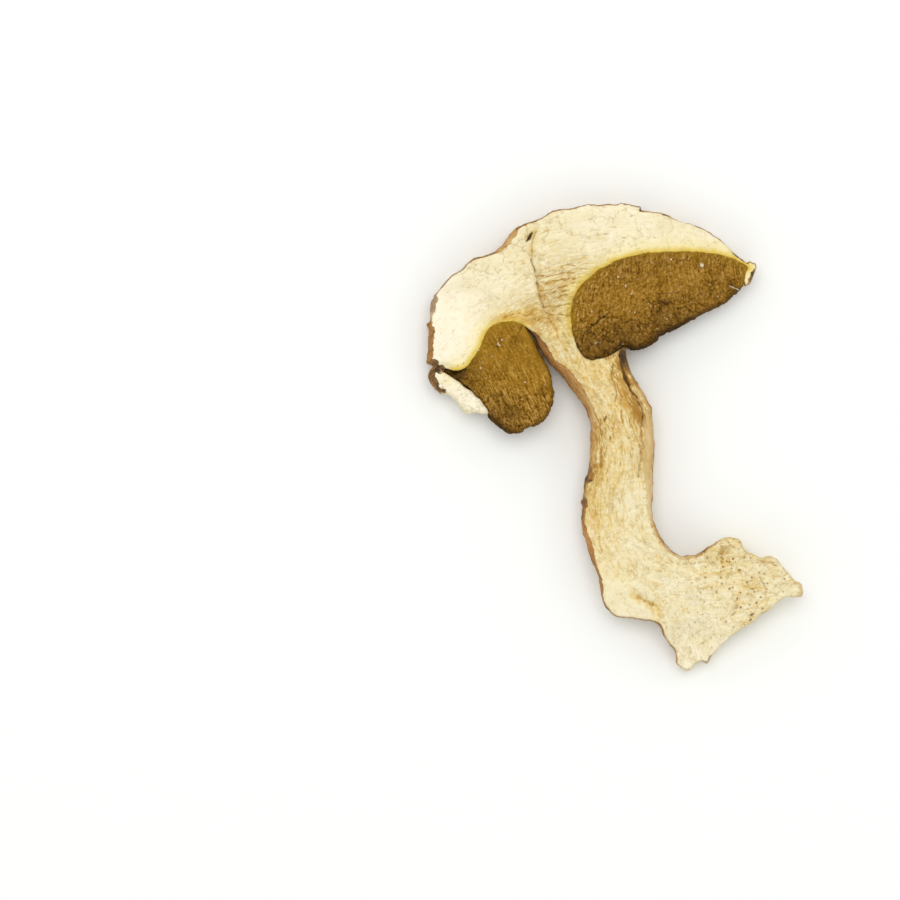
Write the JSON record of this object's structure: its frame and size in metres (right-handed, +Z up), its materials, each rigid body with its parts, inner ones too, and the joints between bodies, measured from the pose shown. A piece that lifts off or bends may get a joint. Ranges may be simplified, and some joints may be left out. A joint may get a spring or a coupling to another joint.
{
  "type": "dried porcini slice",
  "caption": "Dried porcini slice, cut lengthwise: pale curled cap with brown tube layers on both sides of a long bent stem and a torn, flared foot. Food ingredient.",
  "frame": {"origin": "on the surface that the slice lies on, under the middle of the bounding box", "axes": "+Z up, out of the cut face that looks up; +Y from the foot towards the crown of the cap; +X towards the side that the foot turns to"},
  "size_m": [0.0564, 0.0702, 0.0067],
  "materials": {
    "flesh": "matte, wrinkled and fibrous",
    "tubes": "matte, finely striped and granular"
  },
  "bodies": {
    "root": {"cap_and_stem": "flesh", "tubes_left": "tubes", "tubes_right": "tubes"}
  },
  "joints": []
}
